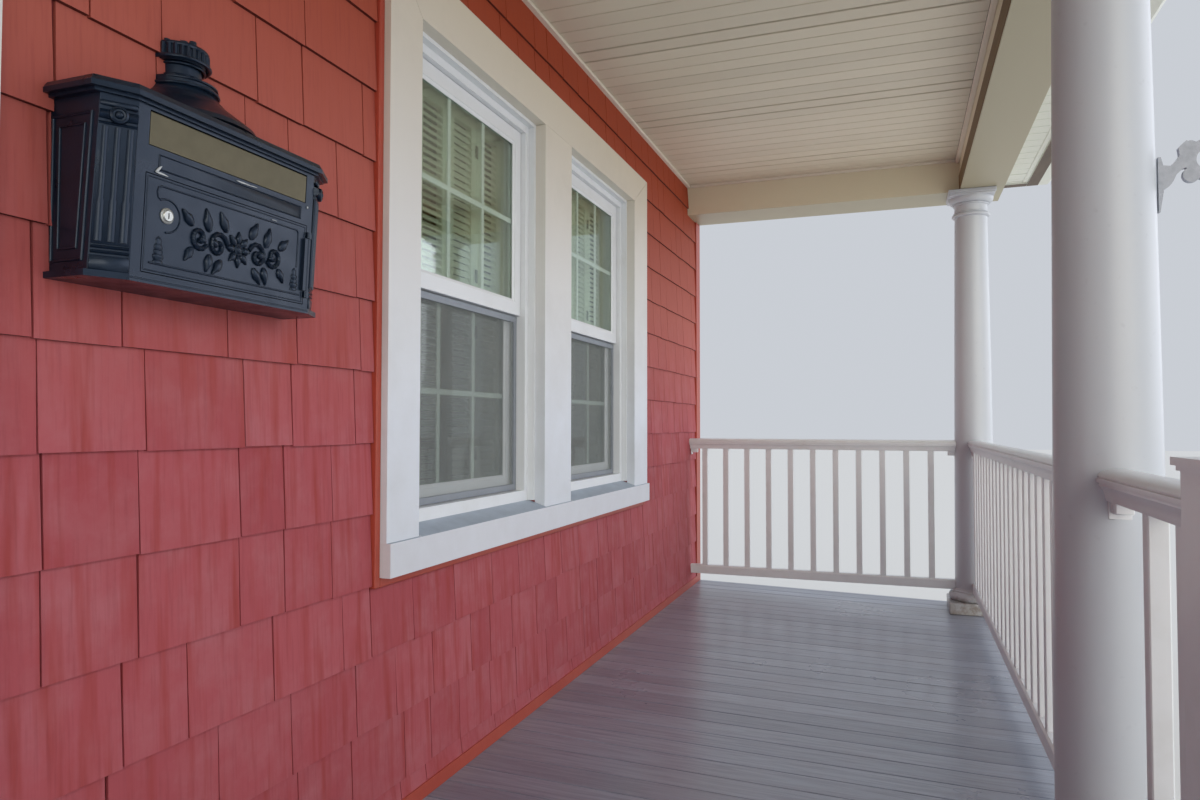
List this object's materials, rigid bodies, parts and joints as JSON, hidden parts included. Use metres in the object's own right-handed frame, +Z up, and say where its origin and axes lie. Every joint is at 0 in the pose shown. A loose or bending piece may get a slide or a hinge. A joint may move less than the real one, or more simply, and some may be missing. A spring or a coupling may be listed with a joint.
{
  "type": "house front porch",
  "caption": "Covered front porch with round columns, railings, steps, a shingled wall with twin windows, a door and a wall letter box.",
  "frame": {"origin": "on the ground, in the middle of the porch's bounding box", "axes": "+Z up, +X along the house wall, -Y out of the porch's front towards the street, the house wall on the +Y side"},
  "size_m": [10.668, 2.57, 3.8554],
  "materials": {
    "concrete": "rough grey concrete",
    "red_shingle": "painted red wood shingle, satin",
    "red_trim": "painted red trim, satin",
    "white_trim": "painted white trim, satin",
    "sill_metal": "dull weathered metal",
    "white_vinyl": "smooth white vinyl",
    "glass": "clear window glass",
    "screen_frame": "grey painted metal",
    "shutter_paint": "cream paint, satin",
    "deck_paint": "grey floor paint, worn gloss",
    "bare_timber": "weathered timber",
    "column_paint": "painted white, smooth",
    "beadboard": "off-white grooved boards",
    "beam_wrap": "cream coated metal, smooth",
    "eave_metal": "white coated metal",
    "roof_shingle": "dark asphalt shingle",
    "black_casting": "black painted casting, satin",
    "brass_plate": "aged brass",
    "grey_casting": "pale grey painted casting"
  },
  "bodies": {
    "porch": {"foundation": "concrete", "wall_piers": "red_shingle", "wall_under_windows": "red_shingle", "wall_over_openings": "red_shingle", "corner_boards": "red_trim", "base_trim": "red_trim", "door_casing": "white_trim", "front_door": "white_trim", "door_sill": "sill_metal", "window_casings": "white_trim", "window_sills": "white_trim", "window_frames": "white_vinyl", "upper_sashes": "white_vinyl", "lower_sashes": "white_vinyl", "window_glass": "glass", "half_screens": "screen_frame", "shutters": "shutter_paint", "deck": "deck_paint", "deck_joists": "bare_timber", "deck_beams": "bare_timber", "deck_piers": "concrete", "skirt_boards": "white_trim", "stair_treads": "deck_paint", "stair_risers": "white_trim", "stair_stringers": "bare_timber", "column_bases": "column_paint", "column_shafts": "column_paint", "column_capitals": "column_paint", "newel_posts": "white_vinyl", "front_rails": "white_vinyl", "stair_side_rails": "white_vinyl", "end_rails": "white_vinyl", "ceiling": "beadboard", "front_beam": "beam_wrap", "end_beams": "beam_wrap", "soffits": "eave_metal", "fascias": "eave_metal", "gutters": "eave_metal", "roof_front": "roof_shingle", "roof_ends": "roof_shingle", "letter_box": "black_casting", "letter_box_lid": "black_casting", "scroll_bracket": "grey_casting"},
    "box_door": {"letter_box_door": "black_casting"},
    "box_flap": {"letter_flap": "brass_plate"}
  },
  "joints": [
    {"name": "letter_box_door_hinge", "type": "hinge", "parent": "porch", "child": "box_door", "pos_m": [1.079, 1.00985, 1.90564], "axis": [0, -0.0549, 0.9985], "range_deg": [0, 100]},
    {"name": "letter_flap_hinge", "type": "hinge", "parent": "porch", "child": "box_flap", "pos_m": [0.892, 1.00751, 2.07577], "axis": [1, 0, 0], "range_deg": [0, 70]}
  ]
}
